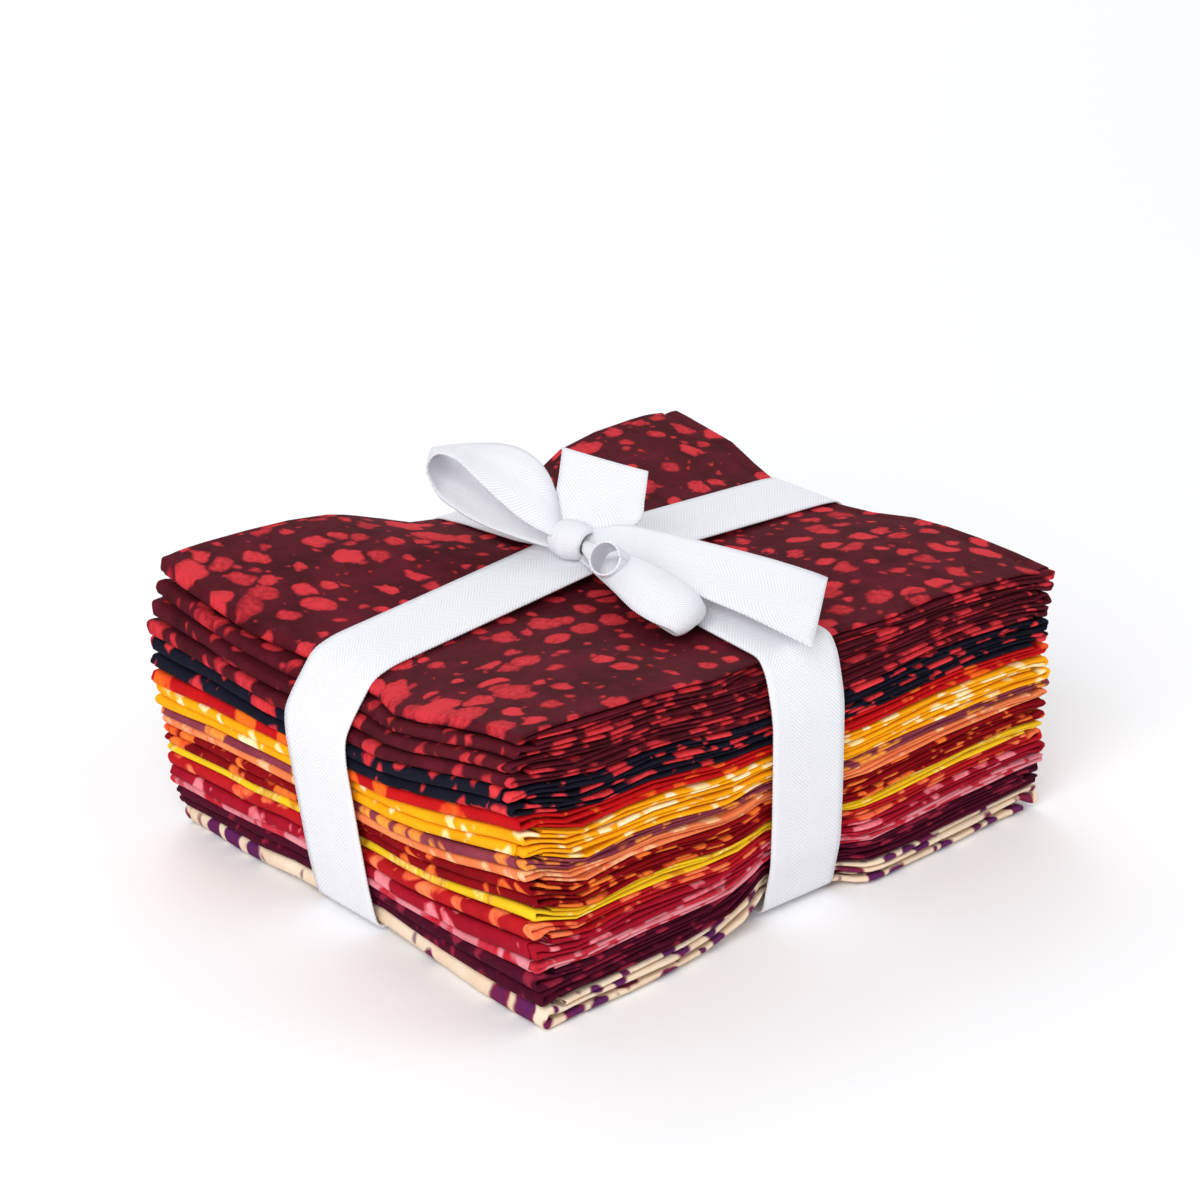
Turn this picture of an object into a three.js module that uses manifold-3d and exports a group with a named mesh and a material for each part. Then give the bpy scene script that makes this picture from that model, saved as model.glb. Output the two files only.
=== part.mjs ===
// Fat quarter bundle: twenty folded fat quarters in a stack, tied both ways with one length of
// twill ribbon that ends in a bow. Millimetres, +Z up, origin in the middle of the underside.
// +X runs along the long side of the stack and +Y along the short side.

import * as THREE from 'three';
import { mergeVertices } from 'three/addons/utils/BufferGeometryUtils.js';
import Module from 'manifold-3d';

const wasm = await Module();
wasm.setup();

// Driving dimensions. A fat quarter is cut 457 x 559 mm and folded in thirds both ways.
const STACK_LENGTH = 186;
const STACK_WIDTH = 152;
const RIBBON_WIDTH = 25.4;
const RIBBON_THICKNESS = 1;
const PIECE_GAP = 0.32;
const PASS_GAP = 0.16;
const PASSES = 3;
const VALLEY_HALF = 14;
const RAW_END_SETBACK = 6;
const FOLD_FILL = 0.62;
const SHOULDER_PINCH = 7;
const SIDE_PINCH = 1.5;

// Where the two runs of ribbon cross the stack. Each run is a little askew.
const RIBBON_ALONG_X = { offset: 9, skew: 0.045 };
const RIBBON_ALONG_Y = { offset: 4, skew: 0.04 };

const ribbonY = (x) => RIBBON_ALONG_X.offset + RIBBON_ALONG_X.skew * x;
const ribbonX = (y) => RIBBON_ALONG_Y.offset + RIBBON_ALONG_Y.skew * y;

// Ground plan: columns across X and rows across Y, with a flat valley under each run of ribbon.
const COLUMNS = [
  () => -STACK_LENGTH / 2,
  () => -80,
  () => -44,
  (y) => ribbonX(y) - VALLEY_HALF,
  (y) => ribbonX(y) + VALLEY_HALF,
  () => 50,
  () => 80,
  () => STACK_LENGTH / 2,
];
const ROWS = [
  () => -STACK_WIDTH / 2,
  () => -46,
  (x) => ribbonY(x) - VALLEY_HALF,
  (x) => ribbonY(x) + VALLEY_HALF,
  () => 50,
  () => STACK_WIDTH / 2,
];

// Heights of the top of the stack and of its underside, a row for each row of the plan and a
// value for each column: four soft pillows on top, and feet that lie flat at zero.
const TOP = [
  [79.4, 79.2, 78.6, 73.6, 73.6, 76.8, 74.6, 72.2],
  [76.8, 77.2, 77.6, 73.6, 73.6, 77.2, 75.4, 73.6],
  [72.2, 73.0, 73.4, 73.6, 73.6, 73.2, 72.0, 70.6],
  [72.2, 73.0, 73.4, 73.6, 73.6, 73.2, 72.0, 70.6],
  [75.4, 76.0, 77.4, 72.6, 72.6, 77.6, 75.6, 73.8],
  [77.4, 77.6, 77.2, 69.2, 69.2, 78.2, 78.6, 77.4],
];
const UNDERSIDE = [
  [0, 0, 0, 6.5, 5.5, 0, 0, 0],
  [0, 0, 0, 2.2, 2.2, 0, 0, 0],
  [7.0, 5.0, 2.4, 1.8, 1.8, 2.2, 3.6, 4.6],
  [6.0, 4.4, 2.4, 1.8, 1.8, 2.2, 3.6, 4.6],
  [0, 0, 0, 2.2, 2.2, 0, 0, 0],
  [0, 0, 0, 5.5, 5.5, 0, 0, 0],
];
// How far the middle of the stack strays from an even spread of its layers.
const WAVE = [
  [2.4, -1.2, 0, -0.6, -0.6, 0.4, -0.4, -1.4],
  [0.8, -0.4, 0, 0, 0, 0, 0, 0],
  [0, 0, 0, 0, 0, 0, 0, 0],
  [0, 0, 0, 0, 0, 0, 0, 0],
  [-1.2, -0.8, 0, 0, 0, 0, 0, 0],
  [-2.8, -1.4, 0, 0, 0, 0, 0, 0.6],
];

// The fabrics from the bottom up: share is the share of the height, and the rest is how far the
// folds reach from the middle at the left end (front and back), at the right end and in front.
const FABRICS = [
  { name: 'cream', colour: 0xefdcc4, share: 1.25, leftFront: 90.0, leftBack: 91.6, right: 93.4, front: 75.6 },
  { name: 'plum', colour: 0x46102a, share: 1.0, leftFront: 91.4, leftBack: 92.6, right: 92.8, front: 76.0 },
  { name: 'plum', colour: 0x46102a, share: 1.0, leftFront: 92.4, leftBack: 93.6, right: 93.2, front: 75.8 },
  { name: 'pink', colour: 0xe79ba6, share: 0.9, leftFront: 92.8, leftBack: 94.8, right: 94.4, front: 76.2 },
  { name: 'crimson', colour: 0xa3162b, share: 1.15, leftFront: 93.4, leftBack: 95.4, right: 94.0, front: 76.0 },
  { name: 'red', colour: 0xb81f27, share: 1.15, leftFront: 93.0, leftBack: 95.6, right: 93.6, front: 75.6 },
  { name: 'yellow', colour: 0xe9c01e, share: 0.85, leftFront: 91.6, leftBack: 95.8, right: 93.2, front: 75.8 },
  { name: 'dark_red', colour: 0x820b15, share: 0.9, leftFront: 92.0, leftBack: 96.4, right: 93.6, front: 76.2 },
  { name: 'dark_red', colour: 0x820b15, share: 0.9, leftFront: 93.4, leftBack: 96.6, right: 94.0, front: 76.0 },
  { name: 'peach', colour: 0xeb8d5c, share: 0.85, leftFront: 94.8, leftBack: 96.8, right: 94.6, front: 75.6 },
  { name: 'mauve', colour: 0x9a4a55, share: 0.8, leftFront: 95.6, leftBack: 97.2, right: 94.8, front: 75.8 },
  { name: 'gold', colour: 0xf0ad17, share: 1.0, leftFront: 95.0, leftBack: 97.8, right: 95.0, front: 76.2 },
  { name: 'gold', colour: 0xf0ad17, share: 1.0, leftFront: 95.2, leftBack: 98.8, right: 94.4, front: 76.0 },
  { name: 'scarlet', colour: 0xc61a18, share: 1.15, leftFront: 96.4, leftBack: 99.6, right: 94.4, front: 75.6 },
  { name: 'black', colour: 0x1a1a28, share: 1.05, leftFront: 98.0, leftBack: 99.6, right: 93.8, front: 76.0 },
  { name: 'black', colour: 0x1a1a28, share: 1.05, leftFront: 99.4, leftBack: 99.2, right: 93.4, front: 76.2 },
  { name: 'maroon', colour: 0x4d1c28, share: 1.02, leftFront: 98.8, leftBack: 99.8, right: 93.4, front: 75.8 },
  { name: 'maroon', colour: 0x4d1c28, share: 1.02, leftFront: 98.2, leftBack: 98.4, right: 94.0, front: 75.6 },
  { name: 'maroon', colour: 0x4d1c28, share: 1.02, leftFront: 97.4, leftBack: 96.8, right: 94.6, front: 76.0 },
  { name: 'maroon', colour: 0x4d1c28, share: 1.02, leftFront: 96.6, leftBack: 94.6, right: 94.6, front: 76.2 },
];
const RIBBON_COLOUR = 0xeeedf0;

// The bow: its knot, the two loops and the two cut ends.
const KNOT = { centre: new THREE.Vector3(-3, 8, 81.4), radii: new THREE.Vector3(7.5, 8, 7.2) };
const LOOPS = [
  { tip: new THREE.Vector3(-19, 54, 96), across: new THREE.Vector3(0.85, 0.46, -0.2), opening: 15 },
  { tip: new THREE.Vector3(-20, -46, 82), across: new THREE.Vector3(0.95, -0.2, 0.22), opening: 8 },
];
const TAILS = [
  {
    path: [[-3, 8, 84], [1, 8.6, 90], [5, 10, 96], [8.4, 11.6, 102]],
    across: new THREE.Vector3(6.6, -24.4, 0),
    endAcross: new THREE.Vector3(6.6, -24.4, 0),
  },
  {
    path: [[-2, 6, 82], [5, -4, 85], [10, -20, 85], [11.4, -42, 82.6], [10.8, -67, 80.6]],
    across: new THREE.Vector3(24.6, 0, 5.6),
    endAcross: new THREE.Vector3(26.5, 21, 4),
  },
];

const lerp = THREE.MathUtils.lerp;

// Place of a coordinate among rising grid lines, as a cell number and a fraction of that cell.
function locate(lines, value) {
  let cell = 0;
  while (cell < lines.length - 2 && value > lines[cell + 1]) cell += 1;
  return { cell, part: (value - lines[cell]) / (lines[cell + 1] - lines[cell]) };
}

// Value of a height table at a point of the plan.
function sample(table, x, y) {
  const u = locate(COLUMNS.map((line) => line(y)), x);
  const v = locate(ROWS.map((line) => line(x)), y);
  const along = (row) => lerp(table[row][u.cell], table[row][u.cell + 1], u.part);
  return lerp(along(v.cell), along(v.cell + 1), v.part);
}

// Height of the stack at a share s of its thickness, from 0 underneath to 1 on top.
function stackHeight(x, y, s) {
  const spread = lerp(sample(UNDERSIDE, x, y), sample(TOP, x, y), s);
  return spread + sample(WAVE, x, y) * Math.sin(Math.PI * s);
}

// How far the ribbon pulls the folds in, most at the upper and lower shoulders of the stack.
function ribbonPinch(s) {
  return SIDE_PINCH + SHOULDER_PINCH * Math.abs(2 * s - 1) ** 5;
}

const TOTAL_SHARE = FABRICS.reduce((sum, fabric) => sum + fabric.share, 0);

// Each fat quarter's slab of the stack, with the share of the height where it starts and ends.
const SLABS = [];
for (const fabric of FABRICS) {
  const start = SLABS.length === 0 ? 0 : SLABS.at(-1).end;
  const end = start + fabric.share / TOTAL_SHARE;
  SLABS.push({ ...fabric, start, end, middle: (start + end) / 2, index: SLABS.length });
}

// Outer end of a slab's folds at one row of the plan.
function foldEnd(slab, side, row) {
  const nearRibbon = row === 2 || row === 3;
  const pinch = nearRibbon ? ribbonPinch(slab.middle) : 0;
  const left = lerp(slab.leftFront, slab.leftBack, row / (ROWS.length - 1));
  return side < 0 ? -(left - pinch) : slab.right - pinch;
}

// Y of a slab at one row and column: the outer rows follow the slab's own edge.
function rowY(slab, row, column, x) {
  const outer = row === 0 || row === ROWS.length - 1;
  if (!outer) return ROWS[row](x);
  const nearRibbon = column === 3 || column === 4;
  const pinch = nearRibbon ? ribbonPinch(slab.middle) : 0;
  return (row === 0 ? -1 : 1) * (slab.front - pinch);
}

// One back-and-forth section of a fat quarter at one row of the plan: three passes and the two
// folds that join them. Level 0.5 is the middle of the lowest pass and 2.5 of the highest.
function sectionPath(slab, row) {
  const flipped = slab.index % 2 === 1;
  const firstSide = flipped ? 1 : -1;
  const points = [];
  const columnPoint = (column, level) => points.push({ column, level });
  const endPoint = (side, inset, level) => points.push({ side, inset, level });
  const inner = [1, 2, 3, 4, 5, 6];
  const towards = (side) => (side < 0 ? [...inner].reverse() : inner);

  endPoint(-firstSide, RAW_END_SETBACK, 0.5);
  towards(firstSide).forEach((column) => columnPoint(column, 0.5));
  endPoint(firstSide, RAW_END_SETBACK - 1, 0.5);
  endPoint(firstSide, 1.6, 0.52);
  endPoint(firstSide, 0, 0.95);
  endPoint(firstSide, 0, 1.5 + FOLD_FILL);
  endPoint(firstSide, 1.6, 1.88 + FOLD_FILL);
  endPoint(firstSide, RAW_END_SETBACK - 1, 1.5);
  towards(-firstSide).forEach((column) => columnPoint(column, 1.5));
  endPoint(-firstSide, RAW_END_SETBACK - 1, 1.5);
  endPoint(-firstSide, 1.6, 1.12 - FOLD_FILL);
  endPoint(-firstSide, 0, 1.5 - FOLD_FILL);
  endPoint(-firstSide, 0, 2.05);
  endPoint(-firstSide, 1.6, 2.48);
  endPoint(-firstSide, RAW_END_SETBACK - 1, 2.5);
  towards(firstSide).forEach((column) => columnPoint(column, 2.5));
  endPoint(firstSide, RAW_END_SETBACK, 2.5);

  return points.map((point) => {
    const column = point.side === undefined ? point.column : -1;
    const guess = column < 0 ? foldEnd(slab, point.side, row) - point.side * point.inset : 0;
    const y = rowY(slab, row, column, column < 0 ? guess : COLUMNS[column](ROWS[row](0)));
    const x = column < 0 ? guess : COLUMNS[column](y);
    const lower = stackHeight(x, y, slab.start) + PIECE_GAP / 2;
    const upper = stackHeight(x, y, slab.end) - PIECE_GAP / 2;
    const pitch = (upper - lower + PASS_GAP) / PASSES;
    const thickness = pitch - PASS_GAP;
    const z = lower + thickness / 2 + (point.level - 0.5) * pitch;
    return { x, y, z, thickness };
  });
}

// Upper and lower faces of one section, half the cloth's thickness to each side of its middle.
function offsetSection(path) {
  return path.map((point, i) => {
    const before = path[Math.max(i - 1, 0)];
    const after = path[Math.min(i + 1, path.length - 1)];
    const tangent = new THREE.Vector2(after.x - before.x, after.z - before.z).normalize();
    const half = point.thickness / 2;
    const side = (sign) => new THREE.Vector3(
      point.x - sign * half * tangent.y,
      point.y,
      point.z + sign * half * tangent.x,
    );
    return [side(-1), side(1)];
  });
}

// Closed solid through a grid of cross-sections. grid[j][i] holds the two faces of one place.
function thickSheet(grid, closed) {
  const rows = grid.length;
  const count = grid[0].length;
  const positions = [];
  const indices = [];
  for (const row of grid) {
    for (const pair of row) {
      for (const corner of pair) positions.push(corner.x, corner.y, corner.z);
    }
  }
  const id = (j, i, face) => ((j * count) + (i % count)) * 2 + face;
  const quad = (a, b, c, d) => indices.push(a, b, c, a, c, d);
  const steps = closed ? count : count - 1;
  // Every face is split along the same diagonal of the plan, so that neighbours never cross.
  for (let j = 0; j < rows - 1; j += 1) {
    for (let i = 0; i < steps; i += 1) {
      const rightwards = grid[j][(i + 1) % count][0].x > grid[j][i][0].x;
      const upper = [id(j, i, 1), id(j, i + 1, 1), id(j + 1, i + 1, 1), id(j + 1, i, 1)];
      const lower = [id(j, i, 0), id(j + 1, i, 0), id(j + 1, i + 1, 0), id(j, i + 1, 0)];
      if (rightwards) {
        quad(...upper);
        quad(...lower);
      } else {
        quad(upper[1], upper[2], upper[3], upper[0]);
        quad(lower[1], lower[2], lower[3], lower[0]);
      }
    }
  }
  for (let i = 0; i < steps; i += 1) {
    quad(id(0, i, 0), id(0, i + 1, 0), id(0, i + 1, 1), id(0, i, 1));
    quad(id(rows - 1, i, 0), id(rows - 1, i, 1), id(rows - 1, i + 1, 1), id(rows - 1, i + 1, 0));
  }
  for (let j = 0; j < rows - 1 && !closed; j += 1) {
    quad(id(j, 0, 0), id(j, 0, 1), id(j + 1, 0, 1), id(j + 1, 0, 0));
    quad(id(j, steps, 0), id(j + 1, steps, 0), id(j + 1, steps, 1), id(j, steps, 1));
  }
  return facingOut(positions, indices);
}

// Turns a closed mesh inside out where its volume comes out negative.
function facingOut(positions, indices) {
  const corner = (i) => new THREE.Vector3().fromArray(positions, indices[i] * 3);
  let volume = 0;
  for (let i = 0; i < indices.length; i += 3) {
    volume += corner(i).dot(corner(i + 1).cross(corner(i + 2))) / 6;
  }
  const ordered = volume > 0 ? indices : [...indices].reverse();
  const geometry = new THREE.BufferGeometry();
  geometry.setAttribute('position', new THREE.Float32BufferAttribute(positions, 3));
  geometry.setIndex(ordered);
  return geometry;
}

function fatQuarter(slab) {
  const grid = ROWS.map((_, row) => offsetSection(sectionPath(slab, row)));
  return thickSheet(grid, false);
}

// Convex outline of a set of points, in order: the way that a tight ribbon goes round them.
function hull(points) {
  const sorted = [...points].sort((a, b) => a.x - b.x || a.y - b.y);
  const turn = (a, b, c) => (b.x - a.x) * (c.y - a.y) - (b.y - a.y) * (c.x - a.x);
  const chain = (list) => {
    const kept = [];
    for (const point of list) {
      while (kept.length > 1 && turn(kept.at(-2), kept.at(-1), point) <= 0) kept.pop();
      kept.push(point);
    }
    return kept.slice(0, -1);
  };
  return [...chain(sorted), ...chain(sorted.reverse())];
}

// Outline moved outwards by a distance, with points closer than a step dropped first.
function outset(outline, distance, step) {
  const kept = outline.filter((point, i) => {
    const previous = outline[(i + outline.length - 1) % outline.length];
    return point.distanceTo(previous) > step;
  });
  return kept.map((point, i) => {
    const before = kept[(i + kept.length - 1) % kept.length];
    const after = kept[(i + 1) % kept.length];
    const inward = point.clone().sub(before).normalize();
    const outward = after.clone().sub(point).normalize();
    const normal = inward.clone().add(outward).normalize();
    const bend = Math.sqrt((1 + inward.dot(outward)) / 2);
    return new THREE.Vector2(point.x + normal.y * distance / bend, point.y - normal.x * distance / bend);
  });
}

// Strip of ribbon through points that each carry their own full width vector.
function strip(stations, closed) {
  const count = stations.length;
  const rowFor = (side) => stations.map((station, i) => {
    const before = stations[closed ? (i + count - 1) % count : Math.max(i - 1, 0)];
    const after = stations[closed ? (i + 1) % count : Math.min(i + 1, count - 1)];
    const tangent = after.point.clone().sub(before.point).normalize();
    const normal = tangent.cross(station.across).normalize().multiplyScalar(RIBBON_THICKNESS / 2);
    const edge = station.point.clone().addScaledVector(station.across, side / 2);
    return [edge.clone().sub(normal), edge.clone().add(normal)];
  });
  return thickSheet([rowFor(-1), rowFor(1)], closed);
}

// Run of ribbon round the whole stack, a gap away from the outline of the folded cloth.
function ribbonRun(outlinePoints, place, across) {
  const path = outset(hull(outlinePoints), PIECE_GAP + 0.1 + RIBBON_THICKNESS / 2, 1.2);
  const width = across.clone().multiplyScalar(RIBBON_WIDTH);
  return strip(path.map((point) => ({ point: place(point), across: width })), true);
}

function runAlongX() {
  const points = SLABS.flatMap((slab) => [2, 3].flatMap((row) => (
    offsetSection(sectionPath(slab, row)).flat().map((corner) => new THREE.Vector2(corner.x, corner.z))
  )));
  const place = (point) => new THREE.Vector3(point.x, ribbonY(point.x), point.y);
  return ribbonRun(points, place, new THREE.Vector3(0, 1, 0));
}

function runAlongY() {
  const points = [];
  for (const slab of SLABS) {
    ROWS.forEach((_, row) => {
      const path = offsetSection(sectionPath(slab, row)).flat();
      const inValley = (corner) => Math.abs(corner.x - ribbonX(corner.y)) < VALLEY_HALF + 1;
      path.filter(inValley).forEach((corner) => points.push(new THREE.Vector2(corner.y, corner.z)));
    });
  }
  const place = (point) => new THREE.Vector3(ribbonX(point.x), point.x, point.y);
  return ribbonRun(points, place, new THREE.Vector3(1, 0, 0));
}

// One loop of the bow: out of the knot, round its tip and back in.
function bowLoop(loop) {
  const reach = loop.tip.clone().sub(KNOT.centre);
  const across = loop.across.clone().normalize();
  const lift = reach.clone().cross(across).normalize();
  if (lift.z < 0) lift.negate();
  const steps = 14;
  const stations = [];
  for (let i = 0; i <= steps; i += 1) {
    const angle = (i / steps) * 2 * Math.PI;
    const out = (1 - Math.cos(angle)) / 2;
    const swell = Math.sin(angle) * Math.sin(angle / 2) ** 0.5;
    const point = KNOT.centre.clone().addScaledVector(reach, out).addScaledVector(lift, swell * loop.opening / 2);
    const width = lerp(RIBBON_WIDTH * 0.42, RIBBON_WIDTH, Math.min(1, out * 2.5));
    stations.push({ point, across: across.clone().multiplyScalar(width) });
  }
  stations[0].point.addScaledVector(lift, 1.2);
  stations[steps].point.addScaledVector(lift, -1.2);
  return strip(stations, false);
}

function bowTail(tail) {
  const last = tail.path.length - 1;
  const stations = tail.path.map((place, i) => {
    const share = i === 0 ? 0.45 : 1;
    const across = (i === last ? tail.endAcross : tail.across).clone().multiplyScalar(share);
    return { point: new THREE.Vector3(...place), across };
  });
  return strip(stations, false);
}

function knot() {
  const ball = new THREE.SphereGeometry(1, 12, 8);
  ball.scale(KNOT.radii.x, KNOT.radii.y, KNOT.radii.z);
  ball.translate(KNOT.centre.x, KNOT.centre.y, KNOT.centre.z);
  return ball;
}

// Solid of a closed mesh, with only its positions kept and shared corners merged.
function toSolid(geometry) {
  const bare = geometry.clone();
  bare.deleteAttribute('normal');
  bare.deleteAttribute('uv');
  const merged = mergeVertices(bare, 1e-4);
  const vertProperties = Float32Array.from(merged.attributes.position.array);
  const triVerts = Uint32Array.from(merged.index.array);
  return new wasm.Manifold(new wasm.Mesh({ numProp: 3, vertProperties, triVerts }));
}

function fromSolid(solid) {
  const mesh = solid.getMesh();
  const geometry = new THREE.BufferGeometry();
  geometry.setAttribute('position', new THREE.BufferAttribute(mesh.vertProperties, 3));
  geometry.setIndex(new THREE.BufferAttribute(mesh.triVerts, 1));
  return geometry;
}

// The whole ribbon is one length, so its runs, knot, loops and ends are one solid.
function ribbon() {
  const pieces = [runAlongX(), runAlongY(), knot(), ...LOOPS.map(bowLoop), ...TAILS.map(bowTail)];
  const solid = pieces.map(toSolid).reduce((whole, piece) => whole.add(piece));
  return fromSolid(solid);
}

function addPiece(group, name, geometry, colour, roughness) {
  geometry.computeVertexNormals();
  const material = new THREE.MeshStandardMaterial({ color: colour, roughness, metalness: 0 });
  const mesh = new THREE.Mesh(geometry, material);
  mesh.name = name;
  group.add(mesh);
}

const group = new THREE.Group();
for (const slab of SLABS) {
  const number = String(slab.index + 1).padStart(2, '0');
  addPiece(group, `fat_quarter_${number}_${slab.name}`, fatQuarter(slab), slab.colour, 0.9);
}
addPiece(group, 'ribbon', ribbon(), RIBBON_COLOUR, 0.8);

// The origin is the middle of the underside of the whole bundle.
const bounds = new THREE.Box3().setFromObject(group);
const middle = bounds.getCenter(new THREE.Vector3());
group.children.forEach((mesh) => mesh.position.set(-middle.x, -middle.y, -bounds.min.z));

export default group;
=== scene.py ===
# %% [markdown]
# # A bundle of fat quarters
# Twenty cuts of printed quilting cotton, folded, stacked and tied both ways with a wide twill
# ribbon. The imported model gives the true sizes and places, so this lesson loads it first and
# measures it, and everything that follows is made to fit it. All places are in metres with +Z up.

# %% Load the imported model
import math

import bpy
import numpy as np
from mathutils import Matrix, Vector


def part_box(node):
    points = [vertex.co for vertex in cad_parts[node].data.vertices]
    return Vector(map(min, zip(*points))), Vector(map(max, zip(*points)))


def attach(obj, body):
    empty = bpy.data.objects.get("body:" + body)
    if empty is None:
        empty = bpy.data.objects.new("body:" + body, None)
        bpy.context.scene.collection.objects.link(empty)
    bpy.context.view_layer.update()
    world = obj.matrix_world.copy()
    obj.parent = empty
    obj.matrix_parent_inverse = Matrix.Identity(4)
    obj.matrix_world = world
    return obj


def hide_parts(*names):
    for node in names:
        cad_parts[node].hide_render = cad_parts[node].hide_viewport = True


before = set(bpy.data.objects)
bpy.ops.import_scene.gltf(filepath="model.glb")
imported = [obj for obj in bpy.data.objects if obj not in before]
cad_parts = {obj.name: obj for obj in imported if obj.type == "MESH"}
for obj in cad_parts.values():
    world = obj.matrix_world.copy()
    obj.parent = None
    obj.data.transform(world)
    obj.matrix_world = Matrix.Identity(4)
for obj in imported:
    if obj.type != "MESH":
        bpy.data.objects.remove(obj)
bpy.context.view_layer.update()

MM = 0.001
fat_quarter_nodes = sorted(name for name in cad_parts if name.startswith("fat_quarter"))
print(len(fat_quarter_nodes), "fat quarters and one ribbon")

# %% [markdown]
# ## Camera, floor and light
# A product photograph like this one is taken from a little above and to the left, with a long
# lens, so that the stack hardly narrows with distance. The camera could be turned by hand, but
# a place and a point to look at, worked out once from the real size, are easier to check. The
# main light is large and soft, from above and the left. Weaker ones on the right and behind
# keep every side readable, and a wide one shines straight down on the floor far behind, so that
# it stays as pale as the floor in front. A pale world fills in the rest.

# %% Camera
CAMERA_PLACE = Vector((-0.5302, -0.6005, 0.4006))
CAMERA_TARGET = Vector((0.0002, 0.0026, 0.0650))
CAMERA_LENS = 96
SENSOR_WIDTH = 36

camera_data = bpy.data.cameras.new("studio_camera")
camera_data.lens = CAMERA_LENS
camera_data.sensor_width = SENSOR_WIDTH
camera = bpy.data.objects.new("studio_camera", camera_data)
bpy.context.scene.collection.objects.link(camera)
camera.location = CAMERA_PLACE
camera.rotation_euler = (CAMERA_TARGET - CAMERA_PLACE).to_track_quat("-Z", "Y").to_euler()
bpy.context.scene.camera = camera
print("the camera is", round((CAMERA_TARGET - CAMERA_PLACE).length, 3), "m away")


# %% Floor
def deselect_all():
    """Leaves nothing selected, so that the next operator acts on its own piece alone."""
    if bpy.context.object and bpy.context.object.mode != "OBJECT":
        bpy.ops.object.mode_set(mode="OBJECT")
    bpy.ops.object.select_all(action="DESELECT")


FLOOR_SIZE = 8
FLOOR_DROP = 0.0002
FLOOR_COLOUR = (0.93, 0.93, 0.935, 1)

deselect_all()
bpy.ops.mesh.primitive_plane_add(size=FLOOR_SIZE, location=(0, 0, -FLOOR_DROP))
floor = bpy.context.object
floor.name = "floor"
floor_paint = bpy.data.materials.new("pale_floor")
floor_paint.use_nodes = True
floor_shader = floor_paint.node_tree.nodes["Principled BSDF"]
floor_shader.inputs["Base Color"].default_value = FLOOR_COLOUR
floor_shader.inputs["Roughness"].default_value = 0.9
floor.data.materials.append(floor_paint)
print("the floor is", FLOOR_SIZE, "m wide")


# %% Lights
def area_light(name, place, size, watts):
    """A square soft light that points at the bundle."""
    data = bpy.data.lights.new(name, "AREA")
    data.size = size
    data.energy = watts
    light = bpy.data.objects.new(name, data)
    light.location = place
    light.rotation_euler = (CAMERA_TARGET - Vector(place)).to_track_quat("-Z", "Y").to_euler()
    bpy.context.scene.collection.objects.link(light)
    return light


area_light("key_light", (-0.85, -0.50, 0.70), size=0.8, watts=10)
area_light("right_light", (1.0, -0.75, 0.55), size=0.8, watts=3.5)
area_light("back_light", (0.2, 1.0, 0.9), size=0.8, watts=3)
far_light = area_light("far_floor_light", (1.9, 2.2, 1.5), size=2.4, watts=34)
# An unturned light shines straight down.
far_light.rotation_euler = (0, 0, 0)
world = bpy.data.worlds.new("pale_world")
world.use_nodes = True
sky = world.node_tree.nodes["Background"]
sky.inputs["Color"].default_value = (0.95, 0.97, 1.0, 1)
sky.inputs["Strength"].default_value = 0.58
bpy.context.scene.world = world
bpy.context.scene.view_settings.view_transform = "Standard"
print(len(bpy.data.lights), "lights")

# %% [markdown]
# ## The shape of the stack
# A tied stack of folded cloth isn't a box. The ribbon pulls a valley into it each way, and the
# cloth swells into four pillows between them, on top and underneath. The form is described by
# a plan of columns and rows with the height of the stack on each crossing, top and bottom. A
# monotone cubic curve runs through the heights, because it never swings past them, so that
# the floor of each valley stays flat under the ribbon.

# %% Plan of the stack
# Columns stand from left to right and rows from front to back, in millimetres. The middle of
# the plan lies at PLAN_SHIFT. Each run of ribbon has an offset from it and lies askew.
PLAN_SHIFT = np.array([2.442, 0.669, 0.0])
COLUMNS = [-93.0, -80.0, -44.0, -26.0, -10.0, 18.0, 27.0, 50.0, 80.0, 93.0]
ROWS = [-76.0, -46.0, -5.0, 23.0, 50.0, 76.0]
RIBBON_X = {"offset": 4.0, "skew": 0.04}
RIBBON_Y = {"offset": 9.0, "skew": 0.045}
LEFT_EDGE = COLUMNS[0]
FRONT_EDGE = ROWS[0]
BACK_EDGE = ROWS[-1]

# Height of the top at each crossing, the front row first.
TOP = [
    [80.9, 80.4, 78.8, 75.9, 73.6, 73.6, 74.6, 76.8, 74.6, 72.2],
    [76.8, 77.2, 77.6, 75.4, 73.6, 73.6, 74.6, 77.2, 75.4, 73.6],
    [69.0, 72.0, 73.4, 73.5, 73.6, 73.6, 73.6, 73.2, 72.0, 70.6],
    [69.0, 72.0, 73.4, 73.5, 73.6, 73.6, 73.6, 73.2, 72.0, 70.6],
    [76.2, 77.2, 77.8, 75.0, 72.6, 72.6, 73.8, 77.8, 76.4, 74.8],
    [80.6, 81.0, 78.6, 73.6, 69.4, 69.2, 71.4, 77.9, 79.8, 78.2],
]
# Height of the underside, which is 0 where the bundle lies flat.
UNDERSIDE = [
    [0, 0, 0, 0.7, 7.2, 1.4, 0, 0, 0, 0],
    [0, 0, 0, 0.3, 2.2, 2.0, 0.2, 0, 0, 0],
    [1.8, 1.8, 1.8, 1.8, 1.8, 1.8, 1.8, 2.2, 3.6, 4.6],
    [1.8, 1.8, 1.8, 1.8, 1.8, 1.8, 1.8, 2.2, 3.6, 4.6],
    [0, 0, 0, 0.3, 2.2, 2.2, 0.4, 0, 0, 0],
    [0, 0, 0, 1.2, 5.5, 5.5, 1.5, 0, 0, 0],
]
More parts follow.
